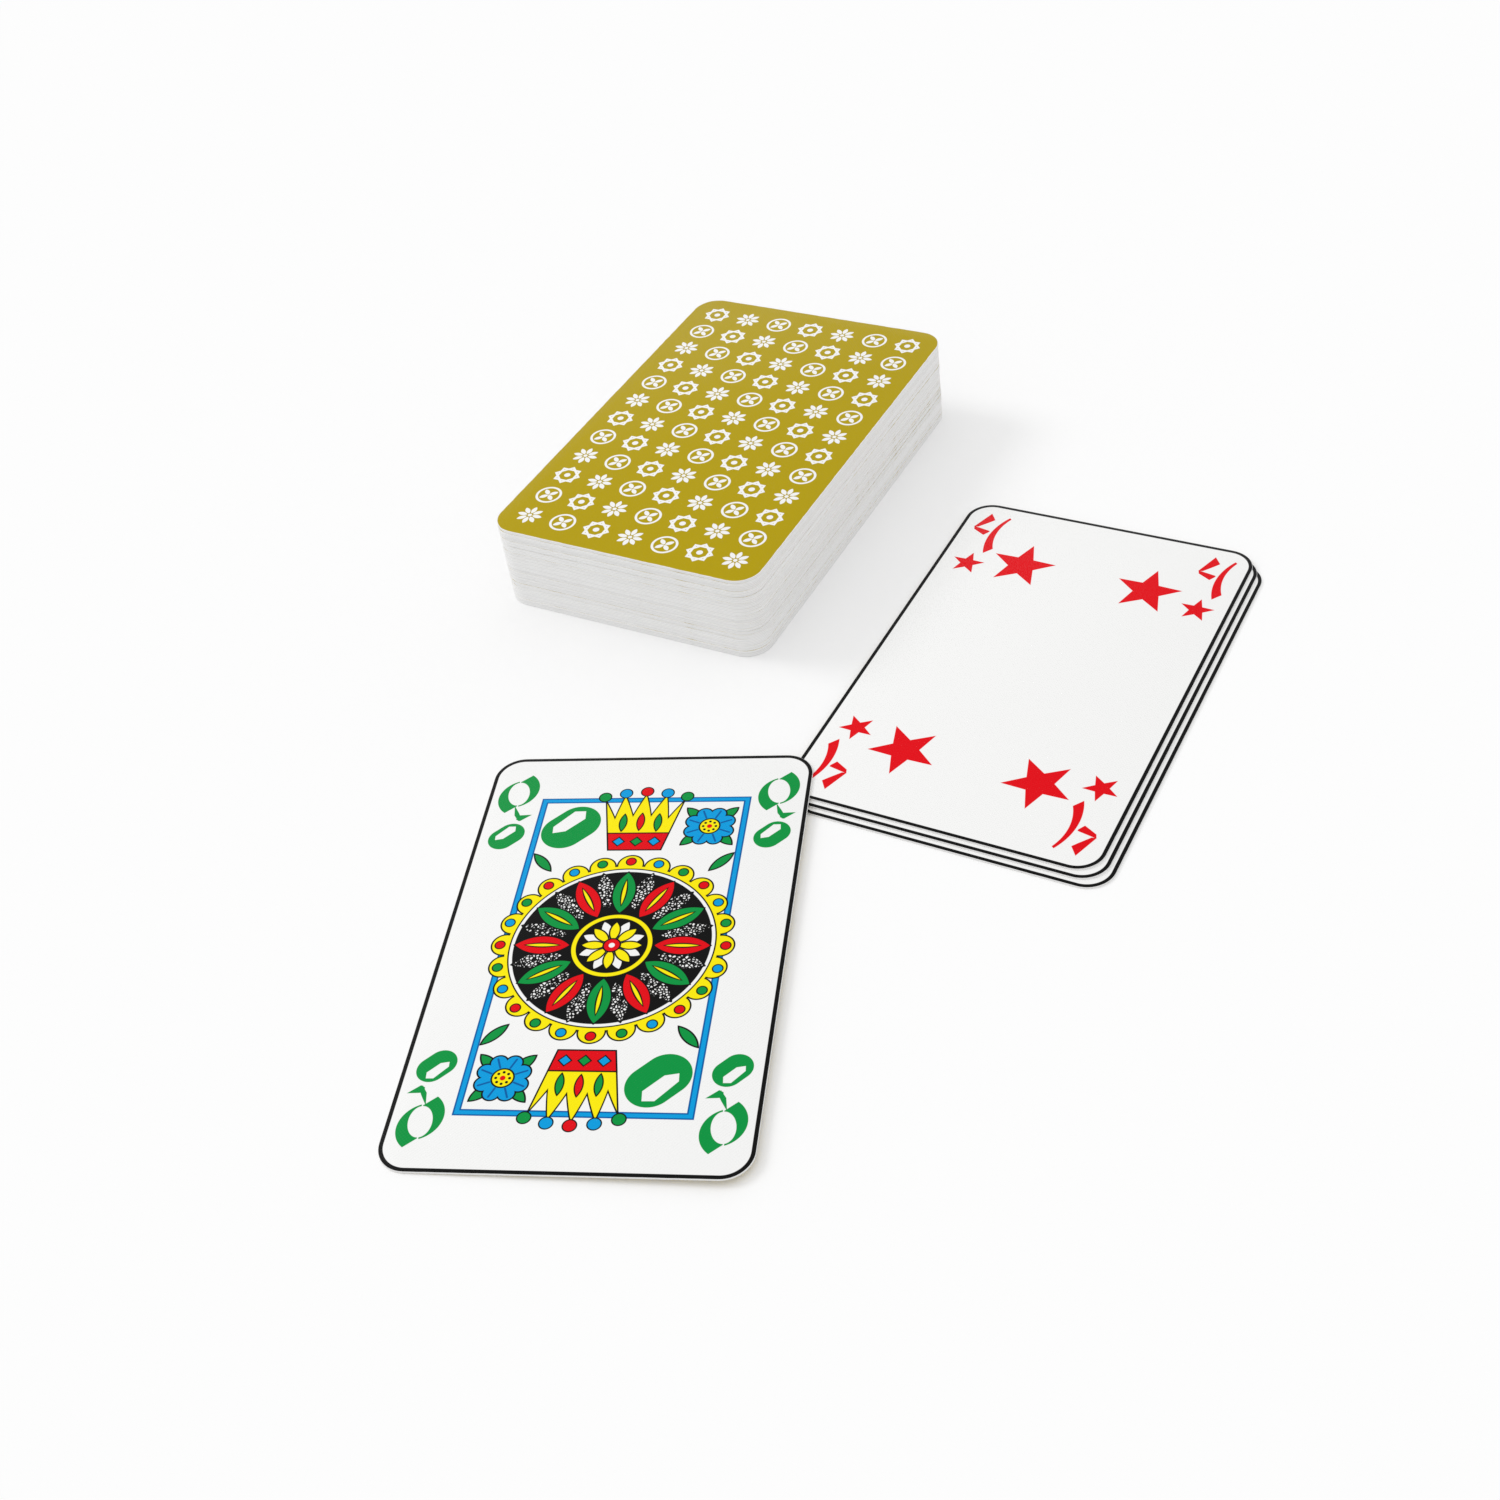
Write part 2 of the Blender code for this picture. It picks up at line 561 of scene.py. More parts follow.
CARD_WIDTH, CARD_LENGTH, CARD_THICKNESS, CORNER_RADIUS = card_sizes(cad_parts["court_card"])
print("a card is", CARD_WIDTH, "by", CARD_LENGTH, "by", CARD_THICKNESS, "mm")
print("its corners have a radius of", CORNER_RADIUS, "mm")

# %% [markdown]
# Playing cards are varnished board, often pressed with a fine linen grain so that air gets between them.
# The grain could be modelled, but it is far too fine for that: a bump of two crossing waves does it. The
# varnish is a little uneven, and along the rim handling has worn the ink thin.

# %% Varnish, linen grain and worn rim
LINEN_PITCH = 0.62
LINEN_DEPTH = 0.000012
LINEN_STRENGTH = 0.9
VARNISH_ROUGHNESS = 0.40
VARNISH_UNEVENNESS = 0.12
VARNISH_PATCHES = 0.09
VARNISH_GLOSS = 0.10
WEAR_PATCHES = 0.55


def rim_distance(x, y):
    """How far a place is outside the card's outline, below zero on the card."""
    past_side = abs(x) - (CARD_WIDTH / 2 - CORNER_RADIUS)
    past_end = abs(y) - (CARD_LENGTH / 2 - CORNER_RADIUS)
    rounded = length(past_side.math("MAXIMUM", 0.0), past_end.math("MAXIMUM", 0.0))
    return rounded + both(past_side, past_end).math("MINIMUM", 0.0) - CORNER_RADIUS


def wear_rim(side, rim, width, share):
    """Board that shows through where the ink is rubbed off, over a width and by a share."""
    rubbed = rim + width * side.noise(WEAR_PATCHES)
    side.lay(side.cover(-rubbed) * share, WHITE)


def varnish(side):
    """The finish that all printed sides share."""
    uneven = side.noise(VARNISH_PATCHES)
    roughness = uneven * VARNISH_UNEVENNESS + (VARNISH_ROUGHNESS - VARNISH_UNEVENNESS / 2)
    waves = (side.x * (tau / LINEN_PITCH)).math("SINE") * (side.y * (tau / LINEN_PITCH)).math("SINE")
    return side.finish(roughness, VARNISH_GLOSS, waves, LINEN_STRENGTH, LINEN_DEPTH)


print("linen threads across a card:", round(CARD_WIDTH / LINEN_PITCH))

# %% [markdown]
# The backs carry three plain ornaments by turns: a rosette, two laced squares, and a ring with four
# leaves. They could be stamps from a font of ornaments. As folded shapes they need no file, and each is a
# short function of the distance and the bearing from its own centre.

# %% Motifs of the back
MOTIF_LINE = 0.24
ROSETTE_PETALS = 8
ROSETTE_PETAL = (1.62, 1.03, 0.48)
ROSETTE_HEART = 0.42
SQUARE_SIDES = 4
SQUARES_HALF = 1.80
SQUARES_HEART = 0.64
LEAFY_RING_RADIUS = 2.38
LEAFY_RING_LEAVES = 4
LEAFY_RING_LEAF = (1.03, 0.92, 0.47)


def rosette_motif(reach, bearing):
    petals = leaves(reach, bearing, ROSETTE_PETALS, 0.0, *ROSETTE_PETAL)
    return either(petals, reach - ROSETTE_HEART)


def laced_squares_motif(reach, bearing):
    upright, _ = sector(reach, bearing, SQUARE_SIDES)
    tilted, _ = sector(reach, bearing, SQUARE_SIDES, pi / SQUARE_SIDES)
    lines = either(abs(upright - SQUARES_HALF), abs(tilted - SQUARES_HALF)) - MOTIF_LINE
    return either(lines, reach - SQUARES_HEART)


def leafy_ring_motif(reach, bearing):
    band = abs(reach - LEAFY_RING_RADIUS) - MOTIF_LINE
    crossed = leaves(reach, bearing, LEAFY_RING_LEAVES, pi / LEAFY_RING_LEAVES, *LEAFY_RING_LEAF)
    return either(band, crossed)


MOTIFS = (rosette_motif, laced_squares_motif, leafy_ring_motif)
print("motifs of the back:", [motif.__name__ for motif in MOTIFS])

# %% [markdown]
# The backs are olive gold with these motifs in white rows, and a plain rim. Each motif could be placed by
# hand. Here the plane is folded into cells, and a count along rows and columns picks the motif of each
# cell. The gold is a little mottled, as large flat areas of ink are, and worn along the rim.

# %% Back print
CELL_WIDTH = 7.5
CELL_HEIGHT = 7.0
COLUMNS = 7
ROWS = 12
ROW_SHIFT = 2.0
SAME_KIND = 0.5
MOTTLE_PATCHES = 0.35
MOTTLE_SHARE = 0.10
WORN_BACK_WIDTH = 0.24
WORN_BACK_SHARE = 0.90


def back_print():
    back = CardPrint("gold_card_back", GOLD)
    column = (back.x / CELL_WIDTH).math("ROUND")
    row = (back.y / CELL_HEIGHT).math("FLOOR")
    kind = (column + row * ROW_SHIFT).math("FLOORED_MODULO", float(len(MOTIFS)))
    reach, bearing = polar(back.x - column * CELL_WIDTH, back.y - (row + 0.5) * CELL_HEIGHT)

    back.lay(back.noise(MOTTLE_PATCHES) * MOTTLE_SHARE, PALE_GOLD)
    inside = both(abs(back.x) - COLUMNS * CELL_WIDTH / 2, abs(back.y) - ROWS * CELL_HEIGHT / 2)
    for number, motif in enumerate(MOTIFS):
        chosen = kind.math("COMPARE", float(number), SAME_KIND)
        back.lay(back.cover(both(motif(reach, bearing), inside)) * chosen, WHITE)
    wear_rim(back, rim_distance(back.x, back.y), WORN_BACK_WIDTH, WORN_BACK_SHARE)
    return varnish(back)


gold_back = back_print()

# %% [markdown]
# A card is cut from board: two white layers with a thin greyer core between them. On the side of the pile
# these cut edges make fine lines. One plain grey would hide them, so the core is drawn by height within
# the card, and every card carries its own shade, as boards differ a little and edges get dirty.

# %% Cut edge
SHADE_ATTRIBUTE = "card_shade"
BOARD_EDGE = ink_colour(251, 251, 250)
BOARD_CORE = ink_colour(211, 211, 213)
BOARD_DIRT = ink_colour(236, 235, 233)
CORE_HALF = 0.04
CORE_SHARE = 0.8
SHADE_SHARE = 0.5
DIRT_PATCHES = 0.8
DIRT_SHARE = 0.25
FIBRE_PATCHES = 6.0
FIBRE_STRENGTH = 0.4
FIBRE_DEPTH = 0.00002
BOARD_ROUGHNESS = 0.75
FIBRE_ROUGHNESS = 0.2
BOARD_GLOSS = 0.1


def edge_material():
    edge = CardPrint("cut_board_edge", BOARD_EDGE)
    shade = add_node(edge.tree, "ShaderNodeAttribute", {"attribute_name": SHADE_ATTRIBUTE})
    edge.lay(Number(edge.tree, shade.outputs["Fac"]) * SHADE_SHARE, BOARD_DIRT)
    edge.lay(edge.noise(DIRT_PATCHES) * DIRT_SHARE, BOARD_DIRT)
    edge.lay(edge.cover(abs(edge.height) - CORE_HALF) * CORE_SHARE, BOARD_CORE)
    fibres = edge.noise(FIBRE_PATCHES)
    roughness = fibres * FIBRE_ROUGHNESS + BOARD_ROUGHNESS
    return edge.finish(roughness, BOARD_GLOSS, fibres, FIBRE_STRENGTH, FIBRE_DEPTH)


cut_edge = edge_material()

# %% [markdown]
# The number cards carry a one, a four or a seven, written as with a broad pen. A font would be quick, but
# text on a card would have to become a mesh. A few strokes do it here: straight ones with slanted ends,
# and one bowed stem that all three share. It lies between two arcs of different reach, so it swells
# towards its foot.

# %% Numerals
STEM_OUTER_MIDDLE = (14.38, -0.78)
STEM_OUTER_RADIUS = 13.7
STEM_INNER_MIDDLE = (13.5, 0.85)
STEM_INNER_RADIUS = 11.72
STEM_ENDS = [(0.0, -8.15), (4.0, -2.8), (4.0, 4.8), (0.0, 8.1)]
ONE_SHIFT = -1.8
FOUR_STROKES = [
    [(-1.4, 6.35), (-3.15, 1.55), (-2.45, 1.7), (-0.85, 3.65), (-0.1, 4.65)],
    [(-3.15, 1.55), (-2.85, 0.75), (-0.5, -0.5), (0.2, 0.65), (0.2, 0.95)],
]
SEVEN_SHIFT = (-1.85, 0.55)
SEVEN_SLANT = radians(-18.0)
SEVEN_STROKE = [(-2.9, 5.9), (-2.5, 3.8), (2.3, 4.2), (3.0, 5.6)]
NUMERAL_WEIGHT = 0.06


def stem(x, y):
    outside = disc(x - STEM_OUTER_MIDDLE[0], y - STEM_OUTER_MIDDLE[1], STEM_OUTER_RADIUS)
    inside = disc(x - STEM_INNER_MIDDLE[0], y - STEM_INNER_MIDDLE[1], STEM_INNER_RADIUS)
    return both(both(outside, -inside), patch(x, y, STEM_ENDS))


def one(x, y):
    return stem(x - ONE_SHIFT, y)


def four(x, y):
    return either(stem(x, y), strokes(x, y, FOUR_STROKES))


def seven(x, y):
    slanted = turned(x - SEVEN_SHIFT[0], y - SEVEN_SHIFT[1], SEVEN_SLANT)
    return either(stem(*slanted), patch(x, y, SEVEN_STROKE))


NUMERALS = {1: one, 4: four, 7: seven}
print("numerals:", list(NUMERALS))

# %% [markdown]
# A face is printed double-ended: turned half round, it looks the same. Both ends could be drawn one after
# the other. A fold by a half turn draws them at once, and a second fold gives the left and the right
# corner the same mark. A thin black line runs along the rim of every face, under the varnish.

# %% Both ends and the rim of a face
RIM_LINE = 0.72
WORN_FACE_WIDTH = 0.12
WORN_FACE_SHARE = 0.35


def double_ended(side):
    """A place folded by a half turn into the card's upper half."""
    upper = side.y.math("SIGN")
    return side.x * upper, abs(side.y)


def left_and_right(x, offset):
    """The same shape at both sides: a place measured from the nearer copy."""
    return x - x.math("SIGN") * offset


def finish_face(face):
    """The line along the rim, its wear and the varnish."""
    rim = rim_distance(face.x, face.y)
    face.ink(-(rim + RIM_LINE), BLACK)
    wear_rim(face, rim, WORN_FACE_WIDTH, WORN_FACE_SHARE)
    return varnish(face)


print("the line along the rim of a face is", RIM_LINE, "mm wide")

# %% [markdown]
# A number card has a numeral and a small pip in every corner, and large pips on its field. Each card could
# be drawn by itself, but suits and ranks follow rules, so one function prints them all. A one has a single
# pip of double size, a four has four pips, and a seven has three more between them.

# %% Number cards
INDEX_PLACE = (22.6, 35.0)
CORNER_PIP_Y = 25.2
PIP_PLACE = (12.4, 27.7)
ONE_PIP_SCALE = 2.0
SUITS = {
    "stars": (star, RED, 6.45, 3.3),
    "rings": (ring, GREEN, 5.05, 3.1),
    "blossoms": (blossom, BLUE, 6.0, 3.3),
}


def number_face(suit, rank):
    pip, colour, large, small = SUITS[suit]
    face = CardPrint(f"{suit}_{rank}_face", WHITE)
    x, y = double_ended(face)

    corner_x = left_and_right(x, INDEX_PLACE[0])
    face.ink(NUMERALS[rank](corner_x, y - INDEX_PLACE[1]) - NUMERAL_WEIGHT, colour)
    face.ink(pip(corner_x, y - CORNER_PIP_Y, small), colour)
    if rank == 1:
        face.ink(pip(face.x, face.y, ONE_PIP_SCALE * large), colour)
    else:
        face.ink(pip(left_and_right(x, PIP_PLACE[0]), y - PIP_PLACE[1], large), colour)
    if rank == 7:
        face.ink(pip(left_and_right(face.x, PIP_PLACE[0]), face.y, large), colour)
        face.ink(pip(face.x, face.y - PIP_PLACE[1] / 2, large), colour)
    return finish_face(face)


number_faces = {(suit, rank): number_face(suit, rank) for suit in SUITS for rank in NUMERALS}

# %% [markdown]
# The court card has a blue frame with an ornament in it. It could be one picture, but a picture has only
# so much detail. So it is made of the same shapes as the pips, drawn from the back to the front, as a sign
# painter would: frame, sprigs, the round medallion in the middle, crowns at both ends, then blossoms and
# the suit's rings. Nearly all of it is leaves and discs in folded sectors, each with a black outline.

# %% Frame and sprigs of the court card
FRAME_HALF_WIDTH = 17.98
FRAME_HALF_HEIGHT = 33.52
FRAME_HALF_BAND = 0.61
FRAME_LINE = 0.27
SPRIG_PLACE = (15.4, 18.6)
SPRIG_TURN = radians(48.0)
SPRIG_LEAF = (3.0, 1.0)

court = CardPrint("court_face", WHITE)


def draw_frame(face):
    outline = both(abs(face.x) - FRAME_HALF_WIDTH, abs(face.y) - FRAME_HALF_HEIGHT)
    band = abs(outline) - FRAME_HALF_BAND
    face.ink(band, DEEP_BLUE)
    face.ink(band + FRAME_LINE, BLUE)


def draw_sprigs(face):
    along, across = turned(abs(face.x) - SPRIG_PLACE[0], abs(face.y) - SPRIG_PLACE[1], SPRIG_TURN)
    face.outlined(leaf(along, across, *SPRIG_LEAF), GREEN)


draw_frame(court)
draw_sprigs(court)
print("nodes for frame and sprigs:", len(court.tree.nodes))

# %% [markdown]
# The medallion's border is scalloped, with a bead on each scallop. It could be one long outline, but a
# disc in a folded sector, joined with a large disc, gives all scallops at once. The beads' colours come by
# turns, so each colour has its own fold with a third of the sectors.

# %% Medallion border of the court card
MEDALLION_RADIUS = 17.9
SCALLOPS = 24
SCALLOP_RADIUS = 2.35
BEAD_REACH = 18.7
BEAD_RADIUS = 0.95
BEAD_COLOURS = (RED, GREEN, BLUE)
FINE_LINE = 0.22
FIELD_RINGS = ((17.1, BLACK), (16.85, WHITE), (16.3, BLACK))


def draw_border(face, reach, bearing):
    along, across = sector(reach, bearing, SCALLOPS)
    scallops = disc(along - MEDALLION_RADIUS, across, SCALLOP_RADIUS)
    face.outlined(either(scallops, reach - MEDALLION_RADIUS), YELLOW)
    for number, colour in enumerate(BEAD_COLOURS):
        along, across = sector(reach, bearing, SCALLOPS // len(BEAD_COLOURS), number * tau / SCALLOPS)
        face.outlined(disc(along - BEAD_REACH, across, BEAD_RADIUS), colour, FINE_LINE)
    for radius, colour in FIELD_RINGS:
        face.ink(reach - radius, colour)


court_reach, court_bearing = polar(court.x, court.y)
draw_border(court, court_reach, court_bearing)
print("scallops with beads:", SCALLOPS)

# %% [markdown]
# Inside the border, petals fan out around a flower. Those behind are filled with a scribble of white on
# black, which could be a bitmap. A Voronoi texture does it without one: the walls between its cells look
# like the lines of a fine pen. The petals in front are red and green by turns, each with a yellow vein.

# %% Medallion petals of the court card
PETALS = 12
PETAL_MIDDLE = 11.6
PETAL_SIZE = (4.9, 2.1)
PETAL_RIB = (3.2, 0.55)
PETAL_VEIN = (2.7, 0.28)
HIND_PETAL = (12.2, 4.5, 1.75)
HIND_LINE = 0.3
SCRIBBLE_CELLS = 1.9
SCRIBBLE_CONTRAST = 9.6
SCRIBBLE_WEIGHT = 1.6


def draw_hind_petals(face, reach, bearing):
    petals = leaves(reach, bearing, PETALS, pi / PETALS, *HIND_PETAL)
    face.ink(petals, BLACK)
    sockets = {"Vector": face.place, "Scale": SCRIBBLE_CELLS, "Randomness": 1.0}
    cells = add_node(face.tree, "ShaderNodeTexVoronoi", {"feature": "DISTANCE_TO_EDGE"}, sockets)
    wall = Number(face.tree, cells.outputs["Distance"])
    scribble = wall.math("MULTIPLY_ADD", SCRIBBLE_CONTRAST, -SCRIBBLE_WEIGHT, clamp=True)
    face.lay(face.cover(petals + HIND_LINE) * scribble, WHITE)


def draw_front_petals(face, reach, bearing):
    for number, colour in enumerate((RED, GREEN)):
        along, across = sector(reach, bearing, PETALS // 2, number * tau / PETALS)
        face.outlined(leaf(along - PETAL_MIDDLE, across, *PETAL_SIZE), colour)
        face.ink(leaf(along - PETAL_MIDDLE, across, *PETAL_RIB), BLACK)
        face.ink(leaf(along - PETAL_MIDDLE, across, *PETAL_VEIN), YELLOW)


draw_hind_petals(court, court_reach, court_bearing)
draw_front_petals(court, court_reach, court_bearing)
print("petals in front and behind:", 2 * PETALS)

# %% [markdown]
# The flower at the medallion's hub is a small fan of its own: a yellow band, eight white petals with eight
# yellow ones over them, and a red eye. These could be fitted to each other like inlays, but ink covers
# ink: each layer goes over the last, so only the top one has to be exact.

# %% Medallion hub of the court card
HUB_RADIUS = 6.9
HUB_BAND = 1.0
HUB_PETALS = 8
HUB_WHITE_PETAL = (3.3, 2.1, 0.85)
HUB_YELLOW_PETAL = (3.0, 2.3, 1.0)
HUB_EYE = 1.55
HUB_GLINT = 0.5


def draw_hub(face, reach, bearing):
    face.outlined(reach - HUB_RADIUS, YELLOW)
    face.ink(reach - (HUB_RADIUS - HUB_BAND), BLACK)
    face.ink(leaves(reach, bearing, HUB_PETALS, pi / HUB_PETALS, *HUB_WHITE_PETAL), WHITE)
    face.outlined(leaves(reach, bearing, HUB_PETALS, 0.0, *HUB_YELLOW_PETAL), YELLOW)
    face.outlined(reach - HUB_EYE, RED)
    face.ink(reach - HUB_GLINT, WHITE)


draw_hub(court, court_reach, court_bearing)
print("nodes for frame and medallion:", len(court.tree.nodes))

# %% [markdown]
# A crown stands at each end of the card. Its outline could be a long list of corners, but they follow a
# rule: the rim zigzags between points and valleys, and the sides flare. So the rim's height is worked out
# from the share of the half width, and what lies below it is crown.

# %% Outline of a crown
CROWN_FOOT = 21.3
CROWN_TOP = 35.4
CROWN_FOOT_HALF = 4.7
CROWN_FLARE = 0.20
CROWN_HALF_POINTS = 2.0
CROWN_VALLEY = 5.2
CROWN_SHOULDER = 1.2
CROWN_STEEPNESS = 0.36


def crown_body(x, y):
    half_width = (y - CROWN_FOOT) * CROWN_FLARE + CROWN_FOOT_HALF
    share = abs(x) / half_width
    points = share * CROWN_HALF_POINTS
    valley = abs(points - points.math("ROUND")) * 2.0
    top = CROWN_TOP - valley * CROWN_VALLEY - share * share * CROWN_SHOULDER
    return both((y - top) * CROWN_STEEPNESS, both(abs(x) - half_width, CROWN_FOOT - y))


print("a crown is", round(CROWN_TOP - CROWN_FOOT, 1), "mm high")

# %% [markdown]
# A red band with jewels runs along the crown's foot, leaves stand above it, and each point carries a ball.
# Each of these could be drawn by itself. Folded at the middle line, one shape gives a pair, and the fold
# by a half turn draws the second crown, upside down.

# %% Crowns of the court card
CROWN_BAND = 25.6
JEWEL_Y = 23.45
JEWEL_HALF = 0.85
JEWELS = ((0.0, GREEN), (3.1, BLUE))
CROWN_LEAF = (2.3, 0.75)
CROWN_LEAVES = ((0.0, 28.2, RED), (3.05, 28.0, GREEN))
BALL_RADIUS = 1.2
CROWN_BALLS = ((0.0, 35.6, RED), (3.7, 35.2, BLUE), (7.3, 34.3, GREEN))


def draw_crown(face, x, y):
    body = crown_body(x, y)
    face.outlined(body, YELLOW)
    face.outlined(both(body, y - CROWN_BAND), RED)
    for place, colour in JEWELS:
        jewel_x, jewel_y = turned(abs(x) - place, y - JEWEL_Y, pi / 4)
        face.outlined(both(abs(jewel_x), abs(jewel_y)) - JEWEL_HALF, colour, FINE_LINE)
    for place, height, colour in CROWN_LEAVES:
        face.outlined(leaf(y - height, abs(x) - place, *CROWN_LEAF), colour, FINE_LINE)
    for place, height, colour in CROWN_BALLS:
        face.outlined(disc(abs(x) - place, y - height, BALL_RADIUS), colour, FINE_LINE)


court_x, court_y = double_ended(court)
draw_crown(court, court_x, court_y)
print("nodes for frame, medallion and crowns:", len(court.tree.nodes))

# %% [markdown]
# Beside each crown sits a blue blossom. It could reuse the medallion at a smaller size, but a plainer
# flower reads better there: four green leaves behind, a disc with eight round petals, and a yellow heart
# with dots.

# %% Blossoms of the court card
FLOWER_PLACE = (12.2, 27.0)
FLOWER_PETALS = 8
FLOWER_LEAVES = 4
FLOWER_LEAF = (3.9, 2.6, 1.1)
FLOWER_REACH = 3.1
FLOWER_PETAL_RADIUS = 1.55
FLOWER_CREASE_MIDDLE = 3.0
FLOWER_CREASE = (0.9, 0.16)
FLOWER_HEART = 1.9
FLOWER_DOT_REACH = 1.1
FLOWER_DOT = 0.24
FLOWER_EYE = 0.45


def draw_flower(face, x, y):
    reach, bearing = polar(x - FLOWER_PLACE[0], y - FLOWER_PLACE[1])
    face.outlined(leaves(reach, bearing, FLOWER_LEAVES, pi / FLOWER_LEAVES, *FLOWER_LEAF), GREEN)
    along, across = sector(reach, bearing, FLOWER_PETALS, pi / FLOWER_PETALS)
    petals = disc(along - FLOWER_REACH, across, FLOWER_PETAL_RADIUS)
    face.outlined(either(petals, reach - FLOWER_REACH), BLUE)
    face.ink(bar(along - FLOWER_CREASE_MIDDLE, across, *FLOWER_CREASE), DEEP_BLUE)
    face.outlined(reach - FLOWER_HEART, YELLOW)
    along, across = sector(reach, bearing, FLOWER_PETALS)
    face.ink(disc(along - FLOWER_DOT_REACH, across, FLOWER_DOT), BLACK)
    face.ink(reach - FLOWER_EYE, RED)


draw_flower(court, court_x, court_y)
print("nodes for the ornament:", len(court.tree.nodes))

# %% [markdown]
# The court card's index is the usual letter of its rank. A letter from a font would have to become a mesh,
# so it is drawn as a broad pen does it: two swelling sides around an oval hole, each a part of a disc and
# a half turn of the other, and a tail.

# %% Letter of the court card
LETTER_TILT = radians(7.5)
LETTER_GAP = 0.20
LETTER_SIDE = (-1.02, 1.06)
LETTER_SIDE_RADIUS = 4.42
LETTER_HOLE = (2.0, 3.05)
LETTER_CUT_TURN = radians(131.2)
LETTER_CUT_REACH = 2.39
LETTER_TAIL = [
    [(0.07, -3.45), (0.42, -5.34), (1.3, -6.6), (1.57, -6.0), (0.9, -4.78)],
    [(0.95, -6.35), (1.57, -6.68), (3.19, -5.34), (1.6, -5.43), (0.9, -5.52)],
]


def letter_distance(x, y):
    hole_x, hole_y = turned(x, y, LETTER_TILT)
    half = hole_x.math("SIGN")
    side_x = x * half
    side_y = y * half
    swell = disc(side_x - LETTER_SIDE[0], side_y - LETTER_SIDE[1], LETTER_SIDE_RADIUS)
    hollowed = both(swell, -oval(hole_x, hole_y, *LETTER_HOLE))
    cut = side_x * cos(LETTER_CUT_TURN) + side_y * sin(LETTER_CUT_TURN) - LETTER_CUT_REACH
    clipped = both(cut, LETTER_GAP - abs(hole_x))
    return either(both(hollowed, clipped), strokes(x, y, LETTER_TAIL))


print("the hole of the letter is", 2 * LETTER_HOLE[0], "by", 2 * LETTER_HOLE[1], "mm")

# %% [markdown]
# The letter stands in all four corners with the suit's ring below it, and larger rings stand only at the
# upper left and the lower right. Eight marks could be placed one by one, but the folds of the number cards
# draw them all, and the varnish then finishes the court card as it does every face.

# %% Index and rings of the court card
LETTER_PLACE = (23.2, 35.4)
LETTER_WEIGHT = 0.10
COURT_PIP_Y = 24.9
LARGE_RING_PLACE = (-12.1, 27.0)
LARGE_RING = 5.05
SMALL_RING = 3.1


def draw_index(face, x, y):
    face.ink(ring(x - LARGE_RING_PLACE[0], y - LARGE_RING_PLACE[1], LARGE_RING), GREEN)
    corner_x = left_and_right(x, LETTER_PLACE[0])
    face.ink(letter_distance(corner_x, y - LETTER_PLACE[1]) - LETTER_WEIGHT, GREEN)
    face.ink(ring(corner_x, y - COURT_PIP_Y, SMALL_RING), GREEN)


draw_index(court, court_x, court_y)
court_print = finish_face(court)

# %% [markdown]
# All cards are punched with the same die, so one rule makes the shape of each: a small Geometry Nodes tree
# with the die's sizes and the three finishes as inputs. A rectangle could be bevelled at its corners, but
# a curve with filleted corners, filled, is just the flat sheet that the die cuts.

# %% The sheet that the die cuts
CORNER_POINTS = 12
DIE_INPUTS = {
    "Width": ("NodeSocketFloat", CARD_WIDTH * MM),
    "Length": ("NodeSocketFloat", CARD_LENGTH * MM),
    "Thickness": ("NodeSocketFloat", CARD_THICKNESS * MM),
    "Corner Radius": ("NodeSocketFloat", CORNER_RADIUS * MM),
    "Corner Points": ("NodeSocketInt", CORNER_POINTS),
    "Face": ("NodeSocketMaterial", None),
    "Back": ("NodeSocketMaterial", gold_back),
    "Edge": ("NodeSocketMaterial", cut_edge),
}


def add_blank(tree, size):
    """The die's rounded rectangle, filled, at the level of the underside, with the edge's finish."""
    sides = {"Width": size["Width"], "Height": size["Length"]}
    outline = add_node(tree, "GeometryNodeCurvePrimitiveQuadrilateral", {"mode": "RECTANGLE"}, sides)
    corners = {"Curve": outline.outputs[0], "Count": size["Corner Points"], "Radius": size["Corner Radius"]}
    fillet = add_node(tree, "GeometryNodeFilletCurve", {"mode": "POLY"}, corners)
    sheet = add_node(tree, "GeometryNodeFillCurve", {"mode": "NGONS"}, {"Curve": fillet.outputs[0]})
    half_down = Number(tree, size["Thickness"]) * -0.5
    drop = add_node(tree, "ShaderNodeCombineXYZ", None, {"Z": half_down})
    sockets = {"Geometry": sheet.outputs[0], "Translation": drop.outputs[0]}
    lowered = add_node(tree, "GeometryNodeTransform", None, sockets)
    sockets = {"Geometry": lowered.outputs[0], "Material": size["Edge"]}
    return add_node(tree, "GeometryNodeSetMaterial", None, sockets).outputs[0]


print("inputs of the die:", list(DIE_INPUTS))

# %% [markdown]
# The board has a thickness, so the sheet is raised. A Solidify modifier could do it, but an extrusion also
# tells which faces are its top, and these get the face's print. It leaves the underside open, so a flipped
# copy of the sheet, with the back's print, closes it, and the rims of both are welded.

# %% The die that punches a card
WELD_DISTANCE = 0.001 * MM


